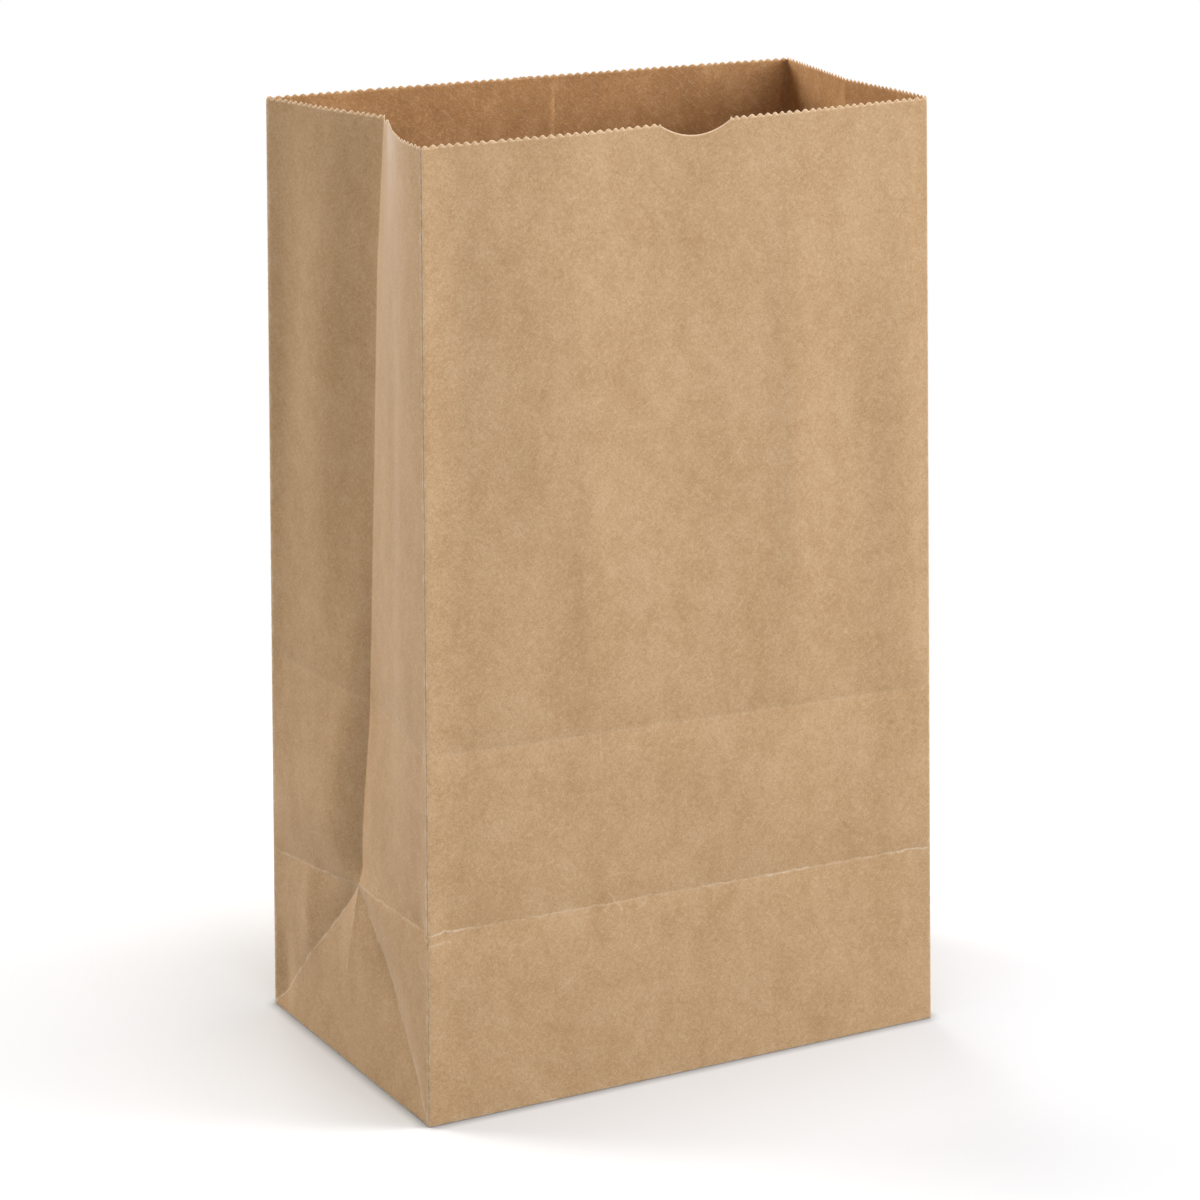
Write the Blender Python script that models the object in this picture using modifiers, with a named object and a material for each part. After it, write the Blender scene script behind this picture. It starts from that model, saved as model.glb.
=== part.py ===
"""Brown paper lunch bag: one sheet of kraft paper, folded into a square-bottomed bag with side gussets.

Sizes are in metres. The bag stands on z = 0 with its front panel towards -Y, and the origin is the middle of
its base.
"""

from collections import namedtuple

import bmesh
import bpy
from mathutils import Vector

# The folded sheet
WIDTH = 0.152  # front and back panels, from edge to edge
DEPTH = 0.096  # side gussets, opened flat
HEIGHT = 0.250  # base to the tips of the teeth
PAPER = 0.0001  # one thickness of the paper

# Creases left by the time the bag lay flat, with its base folded up against the front: a sharp fold half the
# depth above the base, and above it the print of the base's edge. Each upright fold has its own two heights,
# because the base was folded up a little askew.
FRONT_LEFT_CREASES = (DEPTH / 2 + 0.0040, DEPTH + 0.0027)
FRONT_RIGHT_CREASES = (DEPTH / 2 + 0.0009, DEPTH - 0.0023)
RIGHT_GUSSET_CREASES = (DEPTH / 2 + 0.0005, DEPTH - 0.0010)
BACK_RIGHT_CREASES = (DEPTH / 2, DEPTH)
BACK_LEFT_CREASES = (DEPTH / 2 - 0.0028, DEPTH + 0.0050)
LEFT_GUSSET_CREASES = (DEPTH / 2 + 0.0014, DEPTH + 0.0035)
CREASE_PINCHES = (0.0006, 0.0003)  # how far the walls draw in at each crease
CREASE_REACH = 0.012  # how far above and below a crease the walls bend towards it

# How far each upright fold has leaned, in x and y, by the time it reaches the mouth
FRONT_LEFT_LEAN = (-0.0012, -0.0052)
FRONT_RIGHT_LEAN = (-0.0025, 0.0090)
BACK_RIGHT_LEAN = (0.0068, -0.0035)
BACK_LEFT_LEAN = (0.0013, -0.0060)
LEFT_GUSSET_LEAN = (0.0, -0.0031)  # the tucks below give its x
RIGHT_GUSSET_LEAN = (0.0, 0.0003)

# How far each gusset's middle fold is tucked in at the first crease, at the second and at the mouth
LEFT_TUCKS = (0.0022, 0.0078, 0.0132)
RIGHT_TUCKS = (0.0007, 0.0014, 0.0022)

# How far a panel bows out at the mouth, between its folds
FRONT_BOW = 0.0016
BACK_BOW = 0.0012
LEFT_STRIP_BOW = 0.0025  # the front half of the left gusset, which curls
GUSSET_BOW = 0.0003

# The mouth, cut with small zigzag teeth and a thumb notch in the front panel
TOOTH_PITCH = 0.0023
TOOTH_DEPTH = 0.0007
NOTCH_WIDTH = 0.021
NOTCH_DEPTH = 0.0030
NOTCH_OFFSET = 0.0024  # its middle, to the right of the front panel's middle

# The glued lap that makes the sheet a tube, up the middle of the back panel
LAP_WIDTH = 0.012
LAP_RAMP = 0.010  # the length in which the outer layer rises over the inner one
LAP_OFFSET = 0.0  # its middle, from the back panel's middle

# The folded base
FLAP_LAP = 0.018  # how far the two glued flaps overlap at the middle
LAYER_SINK = 0.2 * PAPER  # how far a layer sinks into the next, so that they join as one solid
FLOOR_INSET = 0.6 * PAPER  # how far inside the walls' outer faces each layer stops
BACK_FLAP_INSET = 0.4 * PAPER
FRONT_FLAP_INSET = 0.3 * PAPER

# The grid of the sheet
LOWER_ROWS = 4  # below the first crease, and across each half gusset, so that the diagonals run through it
MIDDLE_ROWS = 2
UPPER_ROWS = 5
PANEL_COLUMNS = 8
RIM_BAND = 0.010  # the depth of the faces that carry the teeth
LEAST_TOOTH_GAP = TOOTH_PITCH / 8  # a tooth's point this near a column is left to the column

KRAFT_BROWN = (0.558, 0.371, 0.212, 1.0)
KRAFT_ROUGHNESS = 0.85

# An upright fold goes from its foot to the mouth. Its tucks move it towards the bag's middle, inward along x.
Fold = namedtuple("Fold", "foot lean creases inward tucks")
NO_TUCKS = (0.0, 0.0, 0.0)
FRONT_LEFT = Fold((-WIDTH / 2, -DEPTH / 2), FRONT_LEFT_LEAN, FRONT_LEFT_CREASES, 0, NO_TUCKS)
FRONT_RIGHT = Fold((WIDTH / 2, -DEPTH / 2), FRONT_RIGHT_LEAN, FRONT_RIGHT_CREASES, 0, NO_TUCKS)
RIGHT_MIDDLE = Fold((WIDTH / 2, 0.0), RIGHT_GUSSET_LEAN, RIGHT_GUSSET_CREASES, -1, RIGHT_TUCKS)
BACK_RIGHT = Fold((WIDTH / 2, DEPTH / 2), BACK_RIGHT_LEAN, BACK_RIGHT_CREASES, 0, NO_TUCKS)
BACK_LEFT = Fold((-WIDTH / 2, DEPTH / 2), BACK_LEFT_LEAN, BACK_LEFT_CREASES, 0, NO_TUCKS)
LEFT_MIDDLE = Fold((-WIDTH / 2, 0.0), LEFT_GUSSET_LEAN, LEFT_GUSSET_CREASES, 1, LEFT_TUCKS)

# A panel lies between two folds, anticlockwise from above. A half gusset's middle is its end or its start.
Panel = namedtuple("Panel", "start end length bow outward middle")
PANELS = (
    Panel(FRONT_LEFT, FRONT_RIGHT, WIDTH, FRONT_BOW, Vector((0, -1, 0)), None),
    Panel(FRONT_RIGHT, RIGHT_MIDDLE, DEPTH / 2, GUSSET_BOW, Vector((1, 0, 0)), "end"),
    Panel(RIGHT_MIDDLE, BACK_RIGHT, DEPTH / 2, GUSSET_BOW, Vector((1, 0, 0)), "start"),
    Panel(BACK_RIGHT, BACK_LEFT, WIDTH, BACK_BOW, Vector((0, 1, 0)), None),
    Panel(BACK_LEFT, LEFT_MIDDLE, DEPTH / 2, GUSSET_BOW, Vector((-1, 0, 0)), "end"),
    Panel(LEFT_MIDDLE, FRONT_LEFT, DEPTH / 2, LEFT_STRIP_BOW, Vector((-1, 0, 0)), "start"),
)
FRONT = PANELS[0]
BACK = PANELS[3]

# A column of the grid: how far along its panel it is, how many papers thick the wall is there, and how many
# papers its outer face is raised.
Column = namedtuple("Column", "panel along layers raised")


def clear_scene():
    for obj in list(bpy.data.objects):
        bpy.data.objects.remove(obj)


def new_collection(name):
    collection = bpy.data.collections.new(name)
    bpy.context.scene.collection.children.link(collection)
    return collection


def kraft_paper():
    material = bpy.data.materials.new("kraft_paper")
    material.use_nodes = True
    shader = material.node_tree.nodes["Principled BSDF"]
    shader.inputs["Base Color"].default_value = KRAFT_BROWN
    shader.inputs["Roughness"].default_value = KRAFT_ROUGHNESS
    shader.inputs["Metallic"].default_value = 0.0
    return material


def mix(start, end, share):
    return start + (end - start) * share


def crease_heights(column):
    """How high the two creases are on a column of the sheet."""
    panel = column.panel
    share = column.along / panel.length
    return [mix(start, end, share) for start, end in zip(panel.start.creases, panel.end.creases)]


def level_height(column, level):
    """The height of a row on a column: level 0 is the base, 1 and 2 the creases, and 3 the teeth's band."""
    # The walls end inside the thickness of the folded base.
    marks = (PAPER / 2, *crease_heights(column), HEIGHT - RIM_BAND)
    below = min(int(level), 2)
    return mix(marks[below], marks[below + 1], level - below)


def tuck_at(fold, height):
    """How far a gusset's middle fold is tucked in at a height, in straight runs between the creases."""
    first, second = fold.creases
    first_tuck, second_tuck, mouth_tuck = fold.tucks
    if height <= first:
        return first_tuck * height / first
    if height <= second:
        return mix(first_tuck, second_tuck, (height - first) / (second - first))
    return mix(second_tuck, mouth_tuck, (height - second) / (HEIGHT - second))


def fold_point(fold, height):
    """Where an upright fold is at a height."""
    rise = height / HEIGHT
    return Vector((
        fold.foot[0] + fold.lean[0] * rise + fold.inward * tuck_at(fold, height),
        fold.foot[1] + fold.lean[1] * rise,
        height,
    ))


def triangle_tuck(column, up):
    """What the gusset's diagonal fold adds, below the first crease, to a wall ruled straight across."""
    panel = column.panel
    if panel.middle is None or up >= 1:
        return Vector((0, 0, 0))
    share = column.along / panel.length
    middle, from_corner = (panel.end, share) if panel.middle == "end" else (panel.start, 1 - share)
    deeper = middle.tucks[0] * (min(from_corner, up) - from_corner * up)
    return Vector((middle.inward * deeper, 0, 0))


def pinched(point, creases):
    """The point drawn in towards the bag's middle beside a crease."""
    pinch = 0.0
    for depth, height in zip(CREASE_PINCHES, creases):
        pinch += depth * max(0.0, 1 - abs(point.z - height) / CREASE_REACH)
    return Vector((point.x * (1 - 2 * pinch / WIDTH), point.y * (1 - 2 * pinch / DEPTH), point.z))


def sheet_point(column, height):
    """A point of the paper's outer face, folded into place."""
    panel = column.panel
    share = column.along / panel.length
    creases = crease_heights(column)
    point = fold_point(panel.start, height).lerp(fold_point(panel.end, height), share)
    point += triangle_tuck(column, height / creases[0])
    if height > creases[0]:
        opened = ((height - creases[0]) / (HEIGHT - creases[0])) ** 2
        point += panel.outward * panel.bow * opened * 4 * share * (1 - share)
    return pinched(point, creases) + panel.outward * column.raised * PAPER


def teeth_in(panel):
    return max(1, round(panel.length / TOOTH_PITCH))


def mouth_height(column):
    """The height of the cut edge: a zigzag that is low at each upright fold, or the thumb notch's arc."""
    along = column.along
    panel = column.panel
    if panel is FRONT:
        from_notch = along - panel.length / 2 - NOTCH_OFFSET
        if abs(from_notch) < NOTCH_WIDTH / 2:
            across = from_notch / (NOTCH_WIDTH / 2)
            return HEIGHT - TOOTH_DEPTH - NOTCH_DEPTH * (1 - across * across)
    phase = along / panel.length * teeth_in(panel) % 1
    return HEIGHT - TOOTH_DEPTH * abs(2 * phase - 1)


def even_columns(panel, count):
    return [Column(panel, panel.length * i / count, 1, 0) for i in range(count)]


def lap_columns(panel):
    """The glued lap: the outer layer climbs onto the inner one's edge, then ends in a step down."""
    start = panel.length / 2 + LAP_OFFSET - LAP_WIDTH / 2
    end = start + LAP_WIDTH
    return [
        Column(panel, start - LAP_RAMP, 1, 0),
        Column(panel, start, 1, 1),
        Column(panel, start + PAPER, 2, 1),
        Column(panel, end, 2, 1),
        Column(panel, end + PAPER, 1, 0),
    ]


def columns_around():
    """Every column of the grid, anticlockwise from the front left edge."""
    columns = []
    for panel in PANELS:
        if panel.middle:
            columns += even_columns(panel, LOWER_ROWS)
        elif panel is BACK:
            lap = lap_columns(panel)
            gap = panel.length / PANEL_COLUMNS / 2
            plain = [
                column
                for column in even_columns(panel, PANEL_COLUMNS)
                if column.along < lap[0].along - gap or column.along > lap[-1].along + gap
            ]
            columns += sorted(plain + lap, key=lambda column: column.along)
        else:
            columns += even_columns(panel, PANEL_COLUMNS)
    return columns


def row_levels():
    """The levels of the grid's rows, up to the band that carries the teeth."""
    lower = [i / LOWER_ROWS for i in range(LOWER_ROWS)]
    middle = [1 + i / MIDDLE_ROWS for i in range(MIDDLE_ROWS)]
    upper = [2 + i / UPPER_ROWS for i in range(UPPER_ROWS + 1)]
    return lower + middle + upper


def teeth_between(column, following):
    """Columns for the teeth's tips and hollows that lie between two columns of the grid."""
    panel = column.panel
    half_pitch = panel.length / teeth_in(panel) / 2
    found = []
    for i in range(2 * teeth_in(panel)):
        along = half_pitch * i
        if column.along + LEAST_TOOTH_GAP < along < following.along - LEAST_TOOTH_GAP:
            share = (along - column.along) / (following.along - column.along)
            layers = mix(column.layers, following.layers, share)
            raised = mix(column.raised, following.raised, share)
            found.append(Column(panel, along, layers, raised))
    return found


def diagonal_cell(panel, index, row):
    """Whether the gusset's diagonal fold crosses this cell, and if so which way."""
    if panel.middle is None or row >= LOWER_ROWS:
        return None
    if panel.middle == "end" and index == row:
        return "rising"
    if panel.middle == "start" and index == LOWER_ROWS - 1 - row:
        return "falling"
    return None


def add_cell(bm, corners, diagonal):
    """One cell of the grid, anticlockwise from its lower left, in two faces where a fold crosses it."""
    a, b, c, d = corners
    if diagonal == "rising":
        bm.faces.new((a, b, c))
        bm.faces.new((a, c, d))
    elif diagonal == "falling":
        bm.faces.new((a, b, d))
        bm.faces.new((b, c, d))
    else:
        bm.faces.new((a, b, c, d))


def make_walls(collection, material):
    """The tube of paper, with its creases and teeth: a sheet that is then given its thickness."""
    columns = columns_around()
    levels = row_levels()
    bm = bmesh.new()
    weights = bm.verts.layers.deform.verify()

    def add_point(column, height):
        vertex = bm.verts.new(sheet_point(column, height))
        vertex[weights][0] = column.layers / 2
        return vertex

    grid = [[add_point(column, level_height(column, level)) for level in levels] for column in columns]
    mouth = [add_point(column, mouth_height(column)) for column in columns]
    index_in_panel = 0
    for i, column in enumerate(columns):
        j = (i + 1) % len(columns)
        for row in range(len(levels) - 1):
            corners = (grid[i][row], grid[j][row], grid[j][row + 1], grid[i][row + 1])
            add_cell(bm, corners, diagonal_cell(column.panel, index_in_panel, row))
        if columns[j].panel is column.panel:
            following = columns[j]
            index_in_panel += 1
        else:
            following = Column(column.panel, column.panel.length, 1, 0)
            index_in_panel = 0
        teeth = [add_point(point, mouth_height(point)) for point in teeth_between(column, following)]
        bm.faces.new([grid[i][-1], grid[j][-1], mouth[j], *reversed(teeth), mouth[i]])

    mesh = bpy.data.meshes.new("paper_bag")
    bm.to_mesh(mesh)
    bm.free()
    mesh.materials.append(material)
    walls = bpy.data.objects.new("paper_bag", mesh)
    collection.objects.link(walls)
    walls.vertex_groups.new(name="layers of paper")

    paper = walls.modifiers.new("paper", "SOLIDIFY")
    paper.thickness = 2 * PAPER  # at the full weight of two layers
    paper.offset = -1
    paper.use_even_offset = True
    paper.vertex_group = "layers of paper"
    walls.modifiers.new("flat faces", "TRIANGULATE")
    return walls


def flat_plate(name, outline, bottom, top, collection):
    """A flat piece of the folded base, as a mesh."""
    curve = bpy.data.curves.new(name, "CURVE")
    curve.dimensions = "2D"
    curve.fill_mode = "BOTH"
    curve.extrude = (top - bottom) / 2
    spline = curve.splines.new("POLY")
    spline.points.add(len(outline) - 1)
    for point, (x, y) in zip(spline.points, outline):
        point.co = (x, y, 0, 1)
    spline.use_cyclic_u = True
    drawn = bpy.data.objects.new(name + "_outline", curve)
    drawn.location.z = (top + bottom) / 2
    collection.objects.link(drawn)
    bpy.context.view_layer.update()

    evaluated = drawn.evaluated_get(bpy.context.evaluated_depsgraph_get())
    mesh = bpy.data.meshes.new_from_object(evaluated)
    bm = bmesh.new()
    bm.from_mesh(mesh)
    bmesh.ops.remove_doubles(bm, verts=bm.verts, dist=PAPER / 100)
    bmesh.ops.recalc_face_normals(bm, faces=bm.faces)
    bm.to_mesh(mesh)
    bm.free()
    plate = bpy.data.objects.new(name, mesh)
    plate.matrix_world = drawn.matrix_world
    bpy.data.objects.remove(drawn)
    collection.objects.link(plate)
    plate.hide_render = True
    plate.display_type = "WIRE"
    return plate


def base_flap(name, towards, inset, bottom, top, collection):
    """A glued flap with its sides at 45 degrees, from the front (-1) or back (1) edge to past the middle."""
    reach = (DEPTH + FLAP_LAP) / 2
    edge = towards * (DEPTH / 2 - inset)
    tip = towards * (DEPTH / 2 - reach)
    half_edge = WIDTH / 2 - inset
    half_tip = WIDTH / 2 - reach
    outline = ((-half_edge, edge), (half_edge, edge), (half_tip, tip), (-half_tip, tip))
    return flat_plate(name, outline, bottom, top, collection)


def base_floor(bottom, top, collection):
    """The inner layers of the base, which show from below as a triangle at each side."""
    x = WIDTH / 2 - FLOOR_INSET
    y = DEPTH / 2 - FLOOR_INSET
    return flat_plate("base_floor", ((-x, -y), (x, -y), (x, y), (-x, y)), bottom, top, collection)


def join_base(walls, collection):
    """The base's three layers: the front flap lies outermost, on the ground, and the inner layers on top."""
    back_top = 2 * PAPER - LAYER_SINK / 2
    front_top = 2 * PAPER - LAYER_SINK / 4
    pieces = (
        base_floor(2 * PAPER - LAYER_SINK, 3 * PAPER, collection),
        base_flap("back_flap", 1, BACK_FLAP_INSET, PAPER, back_top, collection),
        base_flap("front_flap", -1, FRONT_FLAP_INSET, 0.0, front_top, collection),
    )
    for piece in pieces:
        union = walls.modifiers.new("join " + piece.name, "BOOLEAN")
        union.operation = "UNION"
        union.solver = "EXACT"
        union.object = piece


def build():
    clear_scene()
    bag = new_collection("paper_bag")
    helpers = new_collection("paper_bag_helpers")
    walls = make_walls(bag, kraft_paper())
    join_base(walls, helpers)


build()
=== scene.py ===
"""The looks of the brown paper lunch bag: one sheet of kraft paper, folded and glued, with a pinked mouth.

Lengths are in metres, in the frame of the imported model: the bag stands on z = 0, with its front towards -Y.
"""

import math
from collections import namedtuple

import bmesh
import bpy
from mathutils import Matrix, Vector, noise


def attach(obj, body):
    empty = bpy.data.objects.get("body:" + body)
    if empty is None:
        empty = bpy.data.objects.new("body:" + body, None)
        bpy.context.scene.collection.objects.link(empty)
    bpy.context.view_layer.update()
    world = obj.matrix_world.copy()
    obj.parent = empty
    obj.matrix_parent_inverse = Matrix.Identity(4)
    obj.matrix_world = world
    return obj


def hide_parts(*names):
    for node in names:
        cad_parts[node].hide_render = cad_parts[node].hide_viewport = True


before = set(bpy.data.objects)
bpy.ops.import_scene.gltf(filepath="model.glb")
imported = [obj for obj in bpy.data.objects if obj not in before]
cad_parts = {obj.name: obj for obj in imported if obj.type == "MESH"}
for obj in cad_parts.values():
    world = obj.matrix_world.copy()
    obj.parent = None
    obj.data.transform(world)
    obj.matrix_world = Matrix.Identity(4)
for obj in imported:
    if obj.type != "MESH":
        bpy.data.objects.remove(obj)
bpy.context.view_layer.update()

# The folded sheet
WIDTH = 0.152  # front and back panels, from edge to edge
DEPTH = 0.096  # side gussets, opened flat
HEIGHT = 0.250  # base to the tips of the teeth
PAPER = 0.0001  # one thickness of the paper
FOLD_RADIUS = 0.00018  # the round of a fold, as seen from outside

# Heights of the two creases on each upright fold, left by the time the bag lay flat
FRONT_LEFT_CREASES = (DEPTH / 2 + 0.0040, DEPTH + 0.0027)
FRONT_RIGHT_CREASES = (DEPTH / 2 + 0.0009, DEPTH - 0.0023)
RIGHT_GUSSET_CREASES = (DEPTH / 2 + 0.0005, DEPTH - 0.0010)
BACK_RIGHT_CREASES = (DEPTH / 2, DEPTH)
BACK_LEFT_CREASES = (DEPTH / 2 - 0.0028, DEPTH + 0.0050)
LEFT_GUSSET_CREASES = (DEPTH / 2 + 0.0014, DEPTH + 0.0035)
CREASE_PINCHES = (0.0006, 0.0005)  # how far the walls draw in at each crease
CREASE_REACH = 0.0065  # how far above and below a crease the walls bend towards it

# How far each upright fold has leaned, in x and y, by the time it reaches the mouth
FRONT_LEFT_LEAN = (-0.0012, -0.0052)
FRONT_RIGHT_LEAN = (-0.0025, 0.0090)
BACK_RIGHT_LEAN = (0.0068, -0.0035)
BACK_LEFT_LEAN = (0.0013, -0.0060)
LEFT_GUSSET_LEAN = (0.0, -0.0031)
RIGHT_GUSSET_LEAN = (0.0, 0.0003)

# How far each gusset's middle fold is tucked in, as (height, tuck) from the base to the mouth
NO_TUCKS = ((0.0, 0.0), (HEIGHT, 0.0))
LEFT_TUCKS = (
    (0.0, 0.0),
    (LEFT_GUSSET_CREASES[0], 0.0018),
    (LEFT_GUSSET_CREASES[0] + 0.0045, 0.0037),
    (LEFT_GUSSET_CREASES[1] - 0.0050, 0.0074),
    (0.167, 0.0096),
    (0.212, 0.0109),
    (HEIGHT, 0.0132),
)
RIGHT_TUCKS = (
    (0.0, 0.0),
    (RIGHT_GUSSET_CREASES[0], 0.0007),
    (RIGHT_GUSSET_CREASES[1], 0.0014),
    (HEIGHT, 0.0022),
)

# How far a panel bows out at the mouth, and how far along it the bow is deepest
FRONT_BOW = 0.0016
BACK_BOW = 0.0012
GUSSET_BOW = 0.0003
LEFT_STRIP_BOW = 0.0027
EVEN_BOW_SKEW = 1.0
LEFT_STRIP_SKEW = 1.5

# The mouth, cut with small rounded teeth and a thumb notch in the front panel
TOOTH_PITCH = 0.0023
TOOTH_DEPTH = 0.0007
TOOTH_DRIFT = 0.45  # how far the teeth stray from even spacing, as a share of their pitch
TOOTH_DRIFT_REACH = 3 * TOOTH_PITCH  # how far they take to stray, and to be even again at a fold
TOOTH_UNEVENNESS = 0.25  # how much lower the lowest teeth are
TOOTH_FULLNESS = 0.8  # below 1 a tooth is fuller than a plain wave
BACK_TOOTH_SHARE = 0.8  # the height of the back's teeth, as a share of the front's
END_TOOTH = 0.0012  # the narrow last tooth where the left gusset's middle fold was cut
END_DIP = 0.0011  # how far the cut drops behind it
END_DIP_REACH = 0.0080
TORN_TEETH = (0.0130, 0.0300)  # where the left gusset's front half was cut raggedly
TORN_DEPTH = 0.0005
TORN_PITCH = 0.0009
NOTCH_WIDTH = 0.021
NOTCH_DEPTH = 0.0030
NOTCH_OFFSET = 0.0024

# The glued lap that makes the sheet a tube, up the middle of the back panel
LAP_WIDTH = 0.012
LAP_RAMP = 0.010
LAP_START = WIDTH / 2 - LAP_WIDTH / 2
LAP_END = WIDTH / 2 + LAP_WIDTH / 2

# The folded base: the front flap lies outermost, on the ground, then the back flap, then the side flaps
FLAP_LAP = 0.018
FLAP_REACH = (DEPTH + FLAP_LAP) / 2
LAYER_PAPERS = 1.05  # from one layer to the next, in papers
LAYER = LAYER_PAPERS * PAPER
SIDE_FLAP_LEVEL = 3  # how many layers up the side flaps lie
LIFT = 0.5 * PAPER  # of the lowest layer, so that its folded corners stay above the ground
FLAP_ROW = 0.0045
FLAP_TOOTH_SHIFT = TOOTH_PITCH / 4  # so that the grid's columns meet the teeth of a flap on their sides
SIDE_FLAP_TAPER = 0.03

# The grid of the sheet
BESIDE_FOLD = (0.0003, 0.0009)  # columns and rows close beside each fold
ROW = 0.0024
RIM_BAND = 0.0050  # the depth in which the grid narrows to the teeth
FRAY_BAND = 0.0005
POINTS_PER_TOOTH = 8
LEAST_STEP = 0.25  # a point of a tooth this near a column, as a share of its step, is left out

# How the paper waves between its folds
WAVE_FADE = 0.005  # a wave dies out this close to a fold
LONG_WAVE = 0.00030
LONG_WAVE_SIZE = (0.022, 0.080)  # around the bag, and up it
SHORT_WAVE = 0.00006
SHORT_WAVE_SIZE = (0.006, 0.011)
SHORT_WAVE_FRACTAL = (1.0, 2.0, 3)  # how fast its finer waves weaken and narrow, and how many there are

# Each use of the noise reads it at a height of its own, so that no two are alike
LONG_WAVE_SEED = 1.7
SHORT_WAVE_SEED = 5.3
DRIFT_SEED = 7.7
UNEVEN_SEED = 3.1
TORN_SEED = 0.4

# An upright fold goes from its foot to the mouth. Its tucks move it towards the bag's middle, inward along x.
Fold = namedtuple("Fold", "foot lean creases inward tucks")
FRONT_LEFT = Fold((-WIDTH / 2, -DEPTH / 2), FRONT_LEFT_LEAN, FRONT_LEFT_CREASES, 0, NO_TUCKS)
FRONT_RIGHT = Fold((WIDTH / 2, -DEPTH / 2), FRONT_RIGHT_LEAN, FRONT_RIGHT_CREASES, 0, NO_TUCKS)
RIGHT_MIDDLE = Fold((WIDTH / 2, 0.0), RIGHT_GUSSET_LEAN, RIGHT_GUSSET_CREASES, -1, RIGHT_TUCKS)
BACK_RIGHT = Fold((WIDTH / 2, DEPTH / 2), BACK_RIGHT_LEAN, BACK_RIGHT_CREASES, 0, NO_TUCKS)
BACK_LEFT = Fold((-WIDTH / 2, DEPTH / 2), BACK_LEFT_LEAN, BACK_LEFT_CREASES, 0, NO_TUCKS)
LEFT_MIDDLE = Fold((-WIDTH / 2, 0.0), LEFT_GUSSET_LEAN, LEFT_GUSSET_CREASES, 1, LEFT_TUCKS)

# A panel lies between two folds, anticlockwise from above. The sheet is measured from the front left fold:
# around is where the panel starts on it. The back panel is made of both ends of the sheet.
Panel = namedtuple("Panel", "start end length around outward bow skew middle")
FRONT = Panel(FRONT_LEFT, FRONT_RIGHT, WIDTH, 0.0, Vector((0, -1, 0)), FRONT_BOW, EVEN_BOW_SKEW, None)
RIGHT_FRONT = Panel(
    FRONT_RIGHT, RIGHT_MIDDLE, DEPTH / 2, WIDTH, Vector((1, 0, 0)), GUSSET_BOW, EVEN_BOW_SKEW, "end"
)
RIGHT_BACK = RIGHT_FRONT._replace(
    start=RIGHT_MIDDLE, end=BACK_RIGHT, around=WIDTH + DEPTH / 2, middle="start"
)
BACK_OUTER = Panel(
    BACK_RIGHT, BACK_LEFT, WIDTH, WIDTH + DEPTH, Vector((0, 1, 0)), BACK_BOW, EVEN_BOW_SKEW, None
)
BACK_INNER = BACK_OUTER._replace(around=-DEPTH - WIDTH)
LEFT_BACK = Panel(
    BACK_LEFT, LEFT_MIDDLE, DEPTH / 2, -DEPTH, Vector((-1, 0, 0)), GUSSET_BOW, EVEN_BOW_SKEW, "end"
)
LEFT_FRONT = LEFT_BACK._replace(
    start=LEFT_MIDDLE,
    end=FRONT_LEFT,
    around=-DEPTH / 2,
    bow=LEFT_STRIP_BOW,
    skew=LEFT_STRIP_SKEW,
    middle="start",
)
SHEET = (BACK_INNER, LEFT_BACK, LEFT_FRONT, FRONT, RIGHT_FRONT, RIGHT_BACK, BACK_OUTER)
SQUARE_CORNERS = (FRONT_LEFT, FRONT_RIGHT, BACK_RIGHT, BACK_LEFT)

# A column of the grid: how far along its panel it is, and how many papers its outer face is raised
Column = namedtuple("Column", "panel along raised")

# A swell of a panel: its middle and half size, along and up, and how far it stands out
Swell = namedtuple("Swell", "panel middle half_size rise")
SWELLS = (
    Swell(FRONT, (0.008, 0.190), (0.007, 0.090), -0.0008),
    Swell(FRONT, (0.041, 0.205), (0.014, 0.050), 0.0014),
    Swell(FRONT, (0.026, 0.213), (0.009, 0.018), 0.0004),
    Swell(FRONT, (0.032, 0.172), (0.007, 0.016), 0.0005),
    Swell(FRONT, (0.047, 0.140), (0.006, 0.042), 0.0006),
    Swell(FRONT, (0.078, 0.185), (0.018, 0.060), -0.0009),
    Swell(FRONT, (0.109, 0.170), (0.006, 0.064), 0.0011),
    Swell(FRONT, (0.129, 0.160), (0.009, 0.062), -0.0008),
    Swell(FRONT, (0.144, 0.195), (0.006, 0.060), 0.0006),
    Swell(FRONT, (0.065, 0.066), (0.012, 0.010), -0.0004),
    Swell(FRONT, (0.100, 0.070), (0.008, 0.014), 0.0004),
    Swell(FRONT, (0.012, 0.040), (0.012, 0.010), 0.0004),
    Swell(FRONT, (0.050, 0.022), (0.012, 0.020), 0.0004),
    Swell(FRONT, (0.108, 0.022), (0.012, 0.020), 0.0004),
    Swell(LEFT_BACK, (0.008, 0.185), (0.008, 0.070), -0.0009),
    Swell(LEFT_BACK, (0.027, 0.185), (0.010, 0.065), 0.0014),
    Swell(LEFT_BACK, (0.005, 0.012), (0.005, 0.014), -0.0014),
    Swell(LEFT_FRONT, (0.030, 0.110), (0.010, 0.050), 0.0003),
    Swell(LEFT_FRONT, (0.022, 0.160), (0.004, 0.050), -0.0003),
    Swell(RIGHT_FRONT, (0.020, 0.170), (0.012, 0.070), 0.0009),
    Swell(RIGHT_BACK, (0.030, 0.150), (0.012, 0.060), 0.0007),
    Swell(BACK_OUTER, (0.034, 0.180), (0.014, 0.060), 0.0009),
    Swell(BACK_OUTER, (0.118, 0.160), (0.014, 0.070), 0.0010),
)

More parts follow.
